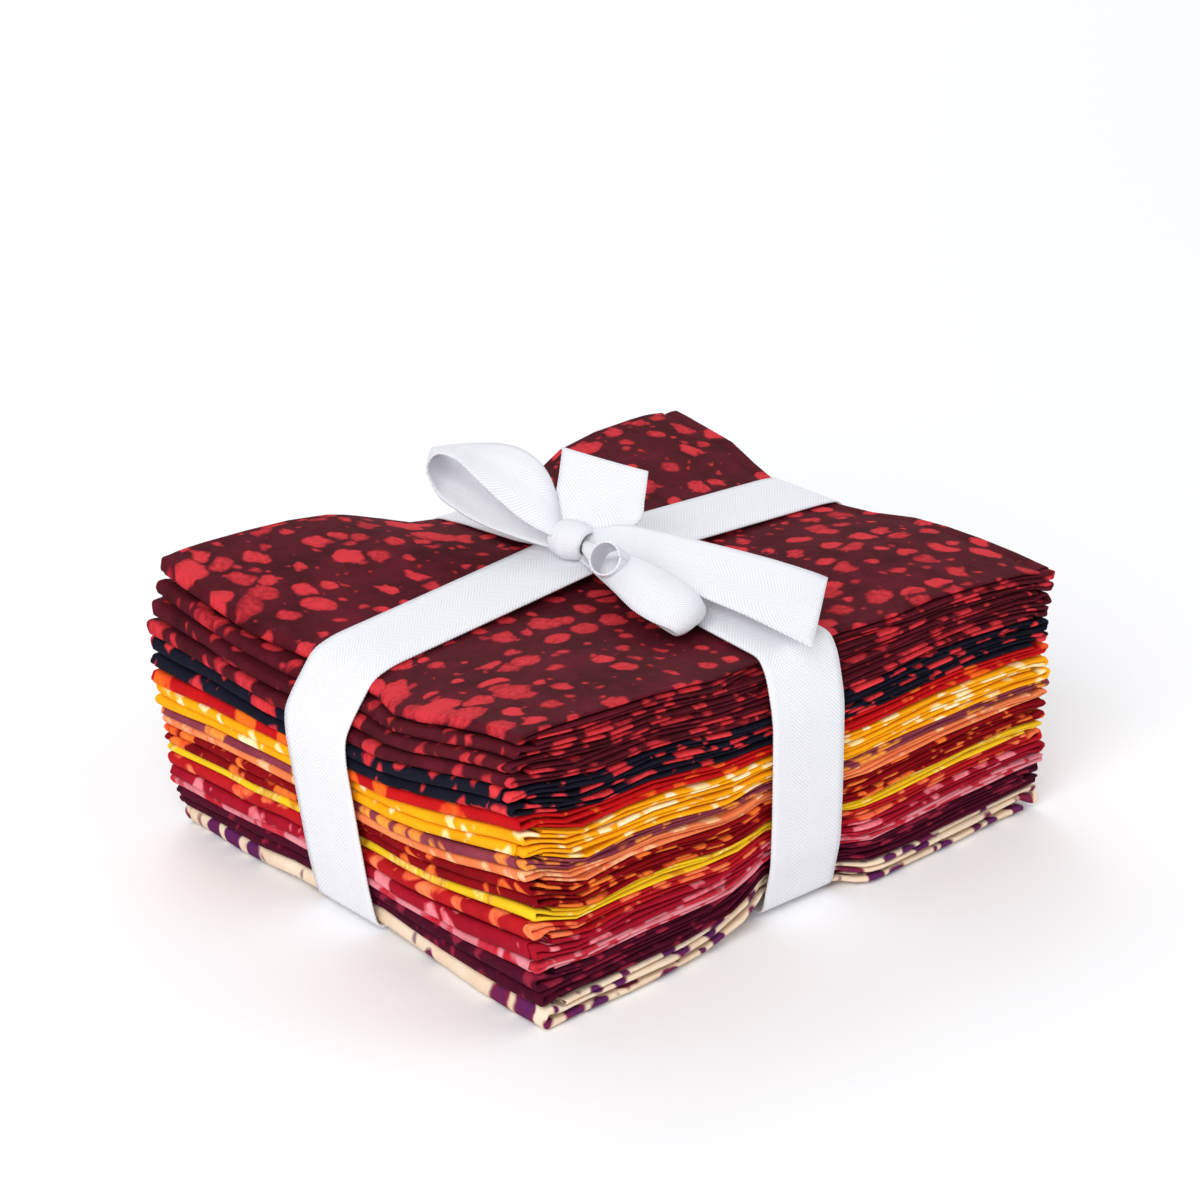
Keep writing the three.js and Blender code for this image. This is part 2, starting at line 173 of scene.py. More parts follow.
# How far the layers half way up bend away from an even spacing.
WAVE = [
    [3.2, 0.6, 0, -0.9, -2.0, -2.4, -2.0, -1.2, 0, 0.4],
    [0.8, -0.2, 0, -0.3, -0.6, -0.8, -0.6, -0.4, 0, 0],
    [0] * 10,
    [0] * 10,
    [-1.2, -0.8, 0, 0, 0, 0, 0, 0, 0, 0],
    [-2.8, -1.4, 0, 0, 0, 0, 0, 0, 0, 0.6],
]
print("the top lies between", np.min(TOP), "and", np.max(TOP), "mm high")


# %% A smooth curve through the heights
def smoothstep(low, high, at):
    """A soft step from 0 to 1 between two places."""
    t = np.clip((at - low) / (high - low), 0.0, 1.0)
    return t * t * (3 - 2 * t)


def cubic(t, start, leave, end, arrive):
    """Value between a start and an end, with the slopes it leaves and arrives with."""
    return (
        start * (2 * t**3 - 3 * t**2 + 1)
        + leave * (t**3 - 2 * t**2 + t)
        + end * (3 * t**2 - 2 * t**3)
        + arrive * (t**3 - t**2)
    )


def monotone_slopes(lines, values):
    """Slopes of a cubic that never swings past its values, one column for each query."""
    step = np.diff(lines)[:, None]
    rise = np.diff(values, axis=0) / step
    before, after = rise[:-1], rise[1:]
    first, second = 2 * step[1:] + step[:-1], step[1:] + 2 * step[:-1]
    with np.errstate(divide="ignore", invalid="ignore"):
        mean = (first + second) / (first / before + second / after)
    slopes = np.zeros_like(values)
    slopes[1:-1] = np.where(before * after > 0, mean, 0.0)
    slopes[0], slopes[-1] = rise[0] * 0.5, rise[-1] * 0.5
    return slopes


def smooth_through(lines, values, at):
    """Value of the cubic at each query, carried on straight past the first and last line."""
    lines = np.asarray(lines, float)
    values = np.asarray(values, float)
    if values.ndim == 1:
        values = np.repeat(values[:, None], len(at), axis=1)
    slopes = monotone_slopes(lines, values)
    inside = np.clip(at, lines[0], lines[-1])
    cell = np.clip(np.searchsorted(lines, inside) - 1, 0, len(lines) - 2)
    each = np.arange(len(at))
    width = lines[cell + 1] - lines[cell]
    leave, arrive = slopes[cell, each] * width, slopes[cell + 1, each] * width
    curve = cubic((inside - lines[cell]) / width, values[cell, each], leave, values[cell + 1, each], arrive)
    beyond = at - inside
    return curve + beyond * np.where(beyond > 0, slopes[-1], slopes[0])


front_top = smooth_through(COLUMNS, TOP[0], np.array([-60.0, 0.0, 40.0]))
print("top of the front edge at x = -60, 0 and 40:", front_top.round(1), "mm")


# %% Height anywhere in the stack
DENT_PLACE = -74
DENT_DEPTH = 2.6
FAN_HEIGHT = 40
SAG_HEIGHT = 1.9
SAG_SHARE = 0.08
RIPPLE_HEIGHT = 0.32


def on_plan(table, x, y):
    """Height of a table at points of the plan, with the askew valleys first set straight."""
    straight_x = x - RIBBON_X["skew"] * y * (1 - smoothstep(30, 80, np.abs(x)))
    straight_y = y - RIBBON_Y["skew"] * x * (1 - smoothstep(30, 70, np.abs(y)))
    by_row = np.array([smooth_through(COLUMNS, row, straight_x) for row in table])
    return smooth_through(ROWS, by_row, straight_y)


def stack_height(x, y, share):
    """Height at a share of the stack's thickness, which is 0 at the underside and 1 on top."""
    low = on_plan(UNDERSIDE, x, y)
    high = on_plan(TOP, x, y)
    within = np.clip(share, 0, 1)
    belly = np.sin(math.pi * within)
    # Beside the near corner a soft dent runs down the front.
    dent = DENT_DEPTH * np.exp(-(((x - DENT_PLACE) / 8) ** 2)) * (1 - smoothstep(FRONT_EDGE, -35, y))
    bend = (on_plan(WAVE, x, y) - dent) * belly
    # At the far left corner the upper cloths fan out.
    fan = FAN_HEIGHT * (1 - smoothstep(LEFT_EDGE, -50, x)) * smoothstep(15, BACK_EDGE, y)
    bend = bend - fan * within**3 * (1 - within)
    # Along the front the lowest cloth lies looser than the ones above it.
    above = within / SAG_SHARE
    along_front = (1 - smoothstep(FRONT_EDGE, -36, y)) * smoothstep(LEFT_EDGE, -78, x)
    bend = bend + SAG_HEIGHT * above * np.exp(1 - above) * along_front
    # Small ripples fade out at the top and at the foot.
    ripple = np.sin(x / 23 + 5 * share) * np.sin(y / 19 + 1.3 + 4 * share)
    ripple = ripple + 0.6 * np.sin(x / 9.5 - 7 * share + 2) * np.sin(y / 11 + 6 * share)
    return low + share * (high - low) + bend + RIPPLE_HEIGHT * ripple * belly**0.5


corner = stack_height(np.array([-93.0, 2.0]), np.array([-76.0, 9.0]), np.array([1.0, 1.0]))
print("top of the stack at the near corner and at the crossing:", corner.round(1), "mm")

# %% [markdown]
# ## The print of the cloth
# These are hand-dyed looking cottons: a mottled ground with scattered pebbles, such as wax
# resist leaves. Each fabric has its own two ground colours and two pebble colours. A picture
# could be painted for each one, but a pattern made of shader nodes stays sharp at any distance,
# and one node group serves all of them. It reads the piece's UV map, which holds the place on
# the flat cut in metres, so the print runs over the folds as it does on real cloth.

# %% Colours
def colour(red, green, blue):
    """Linear colour from the everyday 0 to 255 values."""
    def linear(value):
        value = value / 255
        return value / 12.92 if value <= 0.04045 else ((value + 0.055) / 1.055) ** 2.4
    return (linear(red), linear(green), linear(blue), 1.0)


# For each fabric: the ground and its shade, the pebble and its other tone, and the cover.
PRINTS = {
    "cream": ((240, 222, 198), (228, 198, 168), (92, 34, 88), (132, 34, 58), 0.46),
    "plum": ((84, 12, 38), (54, 6, 26), (146, 34, 58), (110, 20, 50), 0.40),
    "pink": ((228, 150, 158), (210, 112, 126), (186, 28, 46), (204, 60, 78), 0.54),
    "crimson": ((170, 20, 42), (142, 12, 34), (236, 136, 146), (214, 60, 78), 0.42),
    "red": ((192, 28, 34), (160, 18, 28), (240, 132, 84), (232, 84, 52), 0.42),
    "yellow": ((240, 204, 36), (230, 182, 28), (216, 146, 26), (250, 226, 120), 0.36),
    "dark_red": ((146, 8, 18), (112, 4, 14), (238, 124, 48), (220, 72, 36), 0.42),
    "peach": ((240, 146, 92), (230, 112, 66), (250, 192, 140), (222, 84, 56), 0.40),
    "mauve": ((148, 66, 78), (120, 42, 62), (236, 162, 60), (214, 104, 70), 0.42),
    "gold": ((247, 178, 20), (240, 156, 12), (253, 238, 196), (250, 212, 110), 0.40),
    "scarlet": ((204, 20, 22), (176, 14, 22), (242, 112, 30), (226, 60, 30), 0.40),
    "black": ((26, 24, 40), (12, 14, 26), (224, 60, 64), (184, 36, 48), 0.40),
    "maroon": ((94, 20, 34), (58, 12, 18), (206, 52, 60), (142, 26, 36), 0.44),
}
print(len(PRINTS), "prints")


# %% Helpers for node groups
def new_group(name, inputs, outputs):
    """An empty shader node group with named sockets."""
    group = bpy.data.node_groups.new(name, "ShaderNodeTree")
    for label, kind, value in inputs:
        socket = group.interface.new_socket(label, in_out="INPUT", socket_type=kind)
        if value is not None:
            socket.default_value = value
    for label, kind in outputs:
        group.interface.new_socket(label, in_out="OUTPUT", socket_type=kind)
    return group, group.nodes.new("NodeGroupInput"), group.nodes.new("NodeGroupOutput")


def feed(group, socket, value):
    """A plain value set on a socket, or another node's output linked to it."""
    if isinstance(value, (int, float, tuple)):
        socket.default_value = value
    else:
        group.links.new(value, socket)


def math_node(group, operation, first, second=None, third=None):
    """A math node whose inputs are sockets or plain numbers."""
    node = group.nodes.new("ShaderNodeMath")
    node.operation = operation
    for slot, value in enumerate((first, second, third)):
        if value is not None:
            feed(group, node.inputs[slot], value)
    return node.outputs[0]


def clamped(group, operation, first, second=None, third=None):
    """The same, with its result kept between 0 and 1."""
    result = math_node(group, operation, first, second, third)
    result.node.use_clamp = True
    return result


def mix_colour(group, factor, first, second):
    """The first colour at factor 0, the second at factor 1."""
    node = group.nodes.new("ShaderNodeMix")
    node.data_type = "RGBA"
    for slot, value in ((0, factor), (6, first), (7, second)):
        feed(group, node.inputs[slot], value)
    return node.outputs[2]


def noise_node(group, vector, scale, detail, rough):
    """Cloudy noise, with its scale in clouds for each metre of cloth."""
    node = group.nodes.new("ShaderNodeTexNoise")
    node.inputs["Scale"].default_value = scale
    node.inputs["Detail"].default_value = detail
    node.inputs["Roughness"].default_value = rough
    group.links.new(vector, node.inputs["Vector"])
    return node


def vector_math(group, operation, first, second):
    """A vector math node whose inputs are sockets or plain vectors."""
    node = group.nodes.new("ShaderNodeVectorMath")
    node.operation = operation
    feed(group, node.inputs[0], first)
    feed(group, node.inputs[1], second)
    return node.outputs[0]


print("node groups so far:", len(bpy.data.node_groups))


# %% Node group for the pebbled print
CELL_RANDOMNESS = 0.85
BORDER_GAP = 0.05


def cell_node(group, place, per_metre, feature):
    """Cells scattered over the cloth, measured from their middles (F1) or from their borders."""
    node = group.nodes.new("ShaderNodeTexVoronoi")
    node.voronoi_dimensions = "2D"
    node.feature = feature
    node.inputs["Scale"].default_value = per_metre
    node.inputs["Randomness"].default_value = CELL_RANDOMNESS
    group.links.new(place, node.inputs["Vector"])
    return node


def pebble_layer(group, place, per_metre, smallest, spread, crisp):
    """Mask of irregular pebbles, how deep inside one a place is, and a random tone for each."""
    cells = cell_node(group, place, per_metre, "F1")
    chance = group.nodes.new("ShaderNodeSeparateColor")
    group.links.new(cells.outputs["Color"], chance.inputs[0])
    reach = math_node(group, "MULTIPLY_ADD", chance.outputs[0], spread, smallest)
    edge = math_node(group, "SUBTRACT", reach, cells.outputs["Distance"])
    # Neighbours never touch, because each pebble also stops short of its cell's border.
    border = cell_node(group, place, per_metre, "DISTANCE_TO_EDGE")
    inside = math_node(group, "SUBTRACT", border.outputs["Distance"], BORDER_GAP)
    depth = math_node(group, "SMOOTH_MIN", edge, inside, 0.08)
    mask = clamped(group, "MULTIPLY", depth, crisp)
    heart = clamped(group, "MULTIPLY", depth, 6.0)
    return mask, heart, chance.outputs[1]


def build_pebbled_print():
    """A mottled ground under three sizes of pebble."""
    tones = ("Ground", "Ground Shade", "Pebble", "Other Pebble")
    inputs = [(label, "NodeSocketVector", None) for label in ("Place", "Offset")]
    inputs += [(label, "NodeSocketColor", None) for label in tones]
    inputs += [("Cover", "NodeSocketFloat", 0.45)]
    group, start, end = new_group("pebbled_print", inputs, [("Color", "NodeSocketColor")])
    place = vector_math(group, "ADD", start.outputs["Place"], start.outputs["Offset"])
    wander = noise_node(group, place, 150.0, 2.0, 0.5)
    centred = vector_math(group, "SUBTRACT", wander.outputs["Color"], (0.5, 0.5, 0.5))
    shift = vector_math(group, "MULTIPLY", centred, (0.0054, 0.0054, 0.0))
    torn = vector_math(group, "ADD", place, shift)
    extra = math_node(group, "SUBTRACT", start.outputs["Cover"], 0.44)
    # Large pebbles are few, and more cover adds only middle-sized and small ones.
    elsewhere = vector_math(group, "ADD", torn, (0.037, 0.021, 0.0))
    large = pebble_layer(group, torn, 56.0, -0.26, 0.64, 24.0)
    middle = pebble_layer(group, torn, 100.0, math_node(group, "ADD", extra, 0.08), 0.40, 13.0)
    small = pebble_layer(group, elsewhere, 170.0, math_node(group, "ADD", extra, -0.20), 0.46, 8.0)
    mottle = noise_node(group, place, 60.0, 6.0, 0.70).outputs["Fac"]
    mottle = clamped(group, "MULTIPLY_ADD", mottle, 3.0, -1.0)
    painted = mix_colour(group, mottle, start.outputs["Ground"], start.outputs["Ground Shade"])
    # A pebble is darker at its rim and streaked inside, where the dye crept under the wax.
    streak = noise_node(group, place, 640.0, 3.0, 0.65).outputs["Fac"]
    streak = clamped(group, "MULTIPLY_ADD", streak, 3.4, -1.3)
    for (mask, heart, tone), strength in ((small, 0.75), (middle, 1.0), (large, 1.0)):
        dimmed = math_node(group, "MULTIPLY_ADD", tone, 0.7, math_node(group, "MULTIPLY", streak, 0.7))
        dimmed = math_node(group, "MULTIPLY_ADD", heart, -0.5, dimmed)
        dimmed = clamped(group, "ADD", dimmed, 0.05)
        pebble = mix_colour(group, dimmed, start.outputs["Pebble"], start.outputs["Other Pebble"])
        painted = mix_colour(group, math_node(group, "MULTIPLY", mask, strength), painted, pebble)
    group.links.new(painted, end.inputs["Color"])
    return group


pebbled_print = build_pebbled_print()
print("the print group has", len(pebbled_print.nodes), "nodes")

# %% [markdown]
# ## The weave
# Quilting cotton is a plain weave: each thread passes over one and under the next. Threads
# are far too thin to build, so a bump made of two crossing waves stands for them. A little
# noise adds the slubs, where a thread is thicker.

# %% Node group for a plain weave
THREADS_PER_METRE = 2600.0


def build_plain_weave():
    """Height of over-and-under threads and of slight slubs, for a bump."""
    inputs = [
        ("Place", "NodeSocketVector", None),
        ("Threads Per Metre", "NodeSocketFloat", THREADS_PER_METRE),
    ]
    group, start, end = new_group("plain_weave", inputs, [("Height", "NodeSocketFloat")])
    parts = group.nodes.new("ShaderNodeSeparateXYZ")
    group.links.new(start.outputs["Place"], parts.inputs[0])
    turns = math_node(group, "MULTIPLY", start.outputs["Threads Per Metre"], math.pi)
    across = math_node(group, "SINE", math_node(group, "MULTIPLY", parts.outputs[0], turns))
    along = math_node(group, "SINE", math_node(group, "MULTIPLY", parts.outputs[1], turns))
    crossing = math_node(group, "MULTIPLY", across, along)
    slub = noise_node(group, start.outputs["Place"], 700.0, 3.0, 0.6).outputs["Fac"]
    height = math_node(group, "MULTIPLY_ADD", crossing, 0.25, slub)
    group.links.new(height, end.inputs["Height"])
    return group


plain_weave = build_plain_weave()
print("the weave group has", len(plain_weave.nodes), "nodes")


# %% Cotton materials
# How far the print moves on from one cloth to the next, in metres of the flat cut.
PRINT_SHIFT = (0.713, 1.291)


def place_group(material, group, values):
    """A node group put into a material, with plain values for some of its sockets."""
    node = material.node_tree.nodes.new("ShaderNodeGroup")
    node.node_tree = group
    for name, value in values.items():
        node.inputs[name].default_value = value
    return node


def woven(name, weave_group, roughness, specular, bump_strength, bump_distance):
    """A material with a weave in its bump, the shader of which still lacks its base colour."""
    material = bpy.data.materials.new(name)
    material.use_nodes = True
    nodes, links = material.node_tree.nodes, material.node_tree.links
    shader = nodes["Principled BSDF"]
    shader.inputs["Roughness"].default_value = roughness
    shader.inputs["Specular IOR Level"].default_value = specular
    uv = nodes.new("ShaderNodeUVMap")
    uv.uv_map = "UVMap"
    weave = place_group(material, weave_group, {})
    bump = nodes.new("ShaderNodeBump")
    bump.inputs["Strength"].default_value = bump_strength
    bump.inputs["Distance"].default_value = bump_distance
    links.new(uv.outputs[0], weave.inputs["Place"])
    links.new(weave.outputs["Height"], bump.inputs["Height"])
    links.new(bump.outputs["Normal"], shader.inputs["Normal"])
    return material, shader, uv, weave


def cotton(name, seed):
    """Printed cotton: the print in its base colour and a plain weave in its bump."""
    ground, shade, pebble, other, cover = PRINTS[name]
    material, shader, uv, _ = woven("cotton_" + name, plain_weave, 0.85, 0.08, 0.3, 0.00012)
    printed = place_group(material, pebbled_print, {
        "Ground": colour(*ground),
        "Ground Shade": colour(*shade),
        "Pebble": colour(*pebble),
        "Other Pebble": colour(*other),
        "Cover": cover,
        "Offset": (PRINT_SHIFT[0] * seed, PRINT_SHIFT[1] * seed, 0.0),
    })
    material.node_tree.links.new(uv.outputs[0], printed.inputs["Place"])
    material.node_tree.links.new(printed.outputs["Color"], shader.inputs["Base Color"])
    return material


print("from cloth to cloth the print moves on by", PRINT_SHIFT, "m")

# %% [markdown]
# ## One folded fat quarter
# A fat quarter is cut 457 by 559 mm. It is folded in thirds one way, which makes a strip of
# three layers, and in thirds the other way, which makes a packet of nine. Cloth simulation
# could fold it, but nine layers half a millimetre apart are more than a solver can keep apart.
# So a grid of the flat cut is added, and each of its points is moved to its place in the fold.
# Every point knows its layer, and layers only follow each other upwards, so none can cross.

# %% Sizes of the cut and of its folds
CUT_WIDTH = 457 * MM
CUT_LENGTH = 559 * MM
# The rest is in millimetres, like the plan.
FOLDED_LENGTH = 186
FOLDED_WIDTH = 152
CLOTH = 0.28
STRIP_LAYERS = 3
LAYERS = 3 * STRIP_LAYERS
TOP_LAYER = LAYERS - 1
LAYER_PITCH = 0.42
STRIP_GAP = 0.30
PIECE_GAP = 0.45

# For each fabric: its share of the height, and how much further its left folds reach at the
# back than in front.
FABRICS = [
    ("cream", 1.55, 1.6), ("plum", 1.0, 1.2), ("plum", 1.0, 1.2), ("pink", 0.7, 2.0),
    ("crimson", 1.15, 2.0), ("red", 1.15, 2.6), ("yellow", 0.85, 4.2), ("dark_red", 0.9, 4.4),
    ("dark_red", 0.9, 3.2), ("peach", 0.85, 2.0), ("mauve", 0.8, 1.6), ("gold", 1.0, 2.8),
    ("gold", 1.0, 3.6), ("scarlet", 1.15, 3.2), ("black", 1.05, 1.6), ("black", 1.05, -0.2),
    ("maroon", 1.02, 1.0), ("maroon", 1.02, 0.2), ("maroon", 1.02, -0.6), ("maroon", 1.02, -2.0),
]
TOTAL_SHARE = sum(share for _, share, _ in FABRICS)
print("a layer takes", round(np.mean(TOP) / LAYERS / len(FABRICS), 3), "mm of height")


# %% The room that each fat quarter takes
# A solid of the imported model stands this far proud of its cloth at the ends.
SOLID_MARGIN = 0.5


class Slab:
    """The room that one fat quarter takes in the stack."""

    def __init__(self, index):
        self.index = index
        self.node = fat_quarter_nodes[index]
        self.name, share, step = FABRICS[index]
        below = sum(other for _, other, _ in FABRICS[:index])
        self.start = below / TOTAL_SHARE
        self.end = (below + share) / TOTAL_SHARE
        self.middle = (self.start + self.end) / 2
        low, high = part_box(self.node)
        reach = -(low.x / MM - PLAN_SHIFT[0]) - SOLID_MARGIN
        self.left_front = reach - max(step, 0.0)
        self.left_back = self.left_front + step
        self.right = high.x / MM - PLAN_SHIFT[0] - SOLID_MARGIN
        self.front = -(low.y / MM - PLAN_SHIFT[1])
        self.back = high.y / MM - PLAN_SHIFT[1]
        # Some cuts are turned end for end, some back to front, so that their raw ends differ.
        self.turned = index % 2 == 1
        self.reversed = index % 3 == 1
        random = np.random.default_rng(40 + index)
        self.setbacks = (random.uniform(1.0, 2.6), random.uniform(1.0, 2.6))
        self.phase = random.uniform(0, 2 * math.pi, 6)


slabs = [Slab(index) for index in range(len(FABRICS))]
print("the lowest fat quarter takes", round(slabs[0].end, 3), "of the height")


# %% Points of the grid along both ways of the cut
def close_at_both_ends(near_end, middle, length):
    """Places from 0 to 1 on a length, close together at both ends, where the cloth folds."""
    start = [distance / length for distance in near_end]
    return start + [distance / length for distance in middle] + [1 - place for place in reversed(start)]


def long_samples():
    """Steps along the long way of the cut: three passes, joined by a turn at each end."""
    near_end = [0.0, 0.35, 0.8, 1.4, 2.2, 3.4, 5.2, 8.0]
    # Closer together beside the ribbon, where the folds are drawn in.
    middle = [13.0, 27.5, 42.0, 56.5, 71.0, 78.0, 82.5, 93.0, 104.0,
              108.5, 112.5, 116.0, 119.5, 124.0, 130.0, 143.0, 157.5, 172.0]
    places = close_at_both_ends(near_end, middle, FOLDED_LENGTH)
    turn = [math.pi * k / 8 for k in range(1, 8)]
    steps = [dict(trip=0, level=0.0, climb=1.0, place=place) for place in reversed(places)]
    steps += [dict(trip=None, end="left", angle=angle) for angle in turn]
    steps += [dict(trip=1, level=5.0, climb=-1.0, place=place) for place in places]
    steps += [dict(trip=None, end="right", angle=angle) for angle in turn]
    steps += [dict(trip=2, level=6.0, climb=1.0, place=place) for place in reversed(places)]
    return steps


def short_samples():
    """Steps along the short way of the cut: (level in the strip, place from 0 to 1, bulge)."""
    places = close_at_both_ends([0.0, 0.5, 1.1, 2.0, 3.4, 6.0], np.linspace(12.0, 140.0, 11), FOLDED_WIDTH)
    turn = [math.pi * k / 5 for k in range(1, 5)]
    steps = [(0.0, place, 0.0) for place in reversed(places)]
    steps += [(0.5 - 0.5 * math.cos(angle), 0.0, -math.sin(angle)) for angle in turn]
    steps += [(1.0, place, 0.0) for place in places]
    steps += [(1.5 - 0.5 * math.cos(angle), 1.0, math.sin(angle)) for angle in turn]
    steps += [(2.0, place, 0.0) for place in reversed(places)]
    return steps


LONG = long_samples()
SHORT = short_samples()
print("each cut is a grid of", len(LONG), "by", len(SHORT), "points")

# %% [markdown]
# ## Where a point of the flat cut goes
# A point's level is its layer in the packet, from 0 to 8, and on a fold it slides from one
# layer to the next along half a circle. The layers spread where a raw end is set back. Parts
# of the grid could be turned over one after the other instead, but levels keep their order by
# themselves, and the stack's own shape is then added in one go.

# %% Level and place across the strip
RAW_SETBACK = 5.5
FOLD_REACH = 3.2
SPREAD_ACROSS = 0.55
SPREAD_ALONG = 0.56


def across_the_strip(slab):
    """Level in the strip, place from front to back, and bulge of one row of points."""
    level = np.array([step[0] for step in SHORT])
    place = np.array([step[1] for step in SHORT])
    bulge = np.array([step[2] for step in SHORT])
    # The two layers of a fold spread over the end of the third, which is set back.
    distance = place * FOLDED_WIDTH
    open_start = 1 - smoothstep(0.0, FOLD_REACH, distance)
    open_end = smoothstep(FOLDED_WIDTH - FOLD_REACH, FOLDED_WIDTH, distance)
    spread = np.where(level <= 1.0, level * (1 + SPREAD_ACROSS * open_start), level)
    spread = np.where(level >= 1.0, 2 - (2 - spread) * (1 + SPREAD_ACROSS * open_end), spread)
    first_setback, last_setback = slab.setbacks
    low = np.where(level >= 1.999, first_setback / FOLDED_WIDTH, 0.0)
    high = np.where(level <= 0.001, 1 - last_setback / FOLDED_WIDTH, 1.0)
    along = low + (high - low) * place
    if slab.reversed:
        return spread, 1 - along, -bulge
    return spread, along, bulge


print("levels in the strip go up to", across_the_strip(slabs[0])[0].max())


# %% Level and place along the cut
def pass_row(step, spread):
    """A row of points on one of the three passes, whose raw ends stop short of the folds."""
    level = step["level"] + step["climb"] * spread
    place = np.full_like(level, step["place"])
    setback = RAW_SETBACK / FOLDED_LENGTH
    if step["trip"] == 0:
        place = place * (1 - setback)
    if step["trip"] == 2:
        place = setback + place * (1 - setback)
    return level, place, np.zeros_like(level)


def turn_row(step, spread):
    """A row of points on the fold that joins two passes."""
    if step["end"] == "left":
        axis, radius, place, side = 2.5, 2.5 - spread, 0.0, -1
    else:
        axis, radius, place, side = 5.5, 0.5 + spread, 1.0, 1
    level = axis - radius * math.cos(step["angle"])
    return level, np.full_like(level, place), side * radius * math.sin(step["angle"])


def row_of_cut(step, spread):
    """Level from 0 to 8, place from left to right, and bulge of one row of points."""
    make_row = turn_row if step["trip"] is None else pass_row
    level, place, bulge = make_row(step, spread)
    distance = place * FOLDED_LENGTH
    if step["trip"] != 2:
        open_left = 1 - smoothstep(0.6, RAW_SETBACK + 0.5, distance)
        level = level * (1 + SPREAD_ALONG * open_left)
    if step["trip"] != 0:
        open_right = smoothstep(FOLDED_LENGTH - RAW_SETBACK - 0.5, FOLDED_LENGTH - 0.6, distance)
        level = TOP_LAYER - (TOP_LAYER - level) * (1 + SPREAD_ALONG * open_right)
    return level, place, bulge


def share_of_stack(slab, level):
    """Levels as shares of the stack's height, with room between strips and between pieces."""
    gaps = STRIP_GAP * (smoothstep(2.0, 3.0, level) + smoothstep(5.0, 6.0, level)) / LAYER_PITCH
    total = LAYERS - 1 + 2 * STRIP_GAP / LAYER_PITCH + 1 + PIECE_GAP / LAYER_PITCH
    lifted = level + gaps + 0.5 + PIECE_GAP / 2 / LAYER_PITCH
    return slab.start + (slab.end - slab.start) * lifted / total


print("the lowest layer lies at a share of", share_of_stack(slabs[0], np.zeros(1)).round(4))

# %% Where the ribbon draws the folds in
SHOULDER_PINCH = 7.0
FOOT_PINCH = 3.0
SIDE_PINCH = 1.5
RIBBON_HALF = 13.0
WIDE_REACH = 38.0
NARROW_REACH = 21.0


def pinch(share, foot):
    """How far a fold is drawn in: least half way up, and by foot more at the very bottom."""
    strength = SHOULDER_PINCH if share > 0.5 else foot
    return SIDE_PINCH + strength * abs(2 * share - 1) ** 5


def near_ribbon(distance, reach):
    """1 under the ribbon, falling to 0 at the reach."""
    return 1 - smoothstep(RIBBON_HALF, reach, np.abs(distance))


print("drawn in at mid height and at the top:", pinch(0.5, FOOT_PINCH), pinch(1.0, FOOT_PINCH), "mm")

# %% Edges of one fat quarter
EDGE_MARGIN = 0.7
END_MARGIN = 1.0


def long_edges(slab, place, strip):
    """Where the front and back folds of the strip run: a little wavy, and drawn in."""
    phase = slab.phase
    wave_front = 0.45 * np.sin(place * 11 + phase[0] + 2.2 * strip)
    wave_front = wave_front + 0.3 * np.sin(place * 29 + phase[1] - 1.4 * strip)
    wave_back = 0.45 * np.sin(place * 9 + phase[2] + 2.0 * strip) + 0.3 * np.sin(place * 31 + phase[3])
    pulled = pinch(slab.middle, FOOT_PINCH)
    reach = WIDE_REACH if slab.middle > 0.5 else NARROW_REACH
    from_run = LEFT_EDGE + FOLDED_LENGTH * place - RIBBON_X["offset"]
    askew = RIBBON_X["skew"] * BACK_EDGE
    front = -slab.front + EDGE_MARGIN + wave_front + pulled * near_ribbon(from_run + askew, reach)
    back = slab.back - EDGE_MARGIN + wave_back - pulled * near_ribbon(from_run - askew, reach)
    return front, back


def short_ends(slab, y):
    """Where the folds at the left and right ends run."""
    toward_back = (slab.left_back - slab.left_front) * (y - FRONT_EDGE) / FOLDED_WIDTH
    wave = 0.35 * np.sin(y / 14 + slab.phase[4]) + 0.2 * np.sin(y / 5.5 + slab.phase[5])
    from_run = y - RIBBON_Y["offset"]
    pulled_left = pinch(slab.middle, -SIDE_PINCH) * near_ribbon(from_run + 4, WIDE_REACH)
    pulled_right = pinch(slab.middle, FOOT_PINCH) * near_ribbon(from_run - 4, WIDE_REACH)
    left = -(slab.left_front + toward_back) + END_MARGIN + wave + pulled_left
    right = slab.right - END_MARGIN + wave - pulled_right
    return left, right


def slide_out(x, y, share):
    """Along the front the lower cloths have slid out a little on both sides of the ribbon."""
    slid = (1 - smoothstep(0.0, 0.4, share)) * (1 - smoothstep(FRONT_EDGE, -16, y))
    out_left = slid * (1 - smoothstep(-60, -12, x))
    out_right = slid * smoothstep(17, 28, x) * (1 - smoothstep(28, 85, x))
    to_left = slid * (1 - smoothstep(LEFT_EDGE, -30, x))
    return x - 1.6 * to_left, y - 4.0 * out_left - 2.6 * out_right


top_front, _ = long_edges(slabs[-1], np.array([0.0, 0.5]), 0.0)
print("front of the top cloth at its left end and under the ribbon:", top_front.round(1), "mm")

# %% All points of one cut
BULGE_ACROSS = 0.55
BULGE_ALONG = 0.5


def fold_points(slab):
    """Places of all grid points of one cut, in millimetres of the plan, row by row."""
    spread, along, bulge_across = across_the_strip(slab)
    rows = [row_of_cut(step, spread) for step in LONG]
    level, place, bulge_along = (np.array(column) for column in zip(*rows))
    if slab.turned:
        place, bulge_along = 1 - place, -bulge_along
    share = share_of_stack(slab, level)
    front, back = long_edges(slab, place, level / STRIP_LAYERS)
    y = front + (back - front) * along + BULGE_ACROSS * bulge_across
    left, right = short_ends(slab, y)
    x = left + (right - left) * place + BULGE_ALONG * bulge_along
    x, y = slide_out(x, y, share)
    z = stack_height(x.ravel(), y.ravel(), share.ravel()).reshape(x.shape)
    return np.stack([x, y, z], axis=-1)


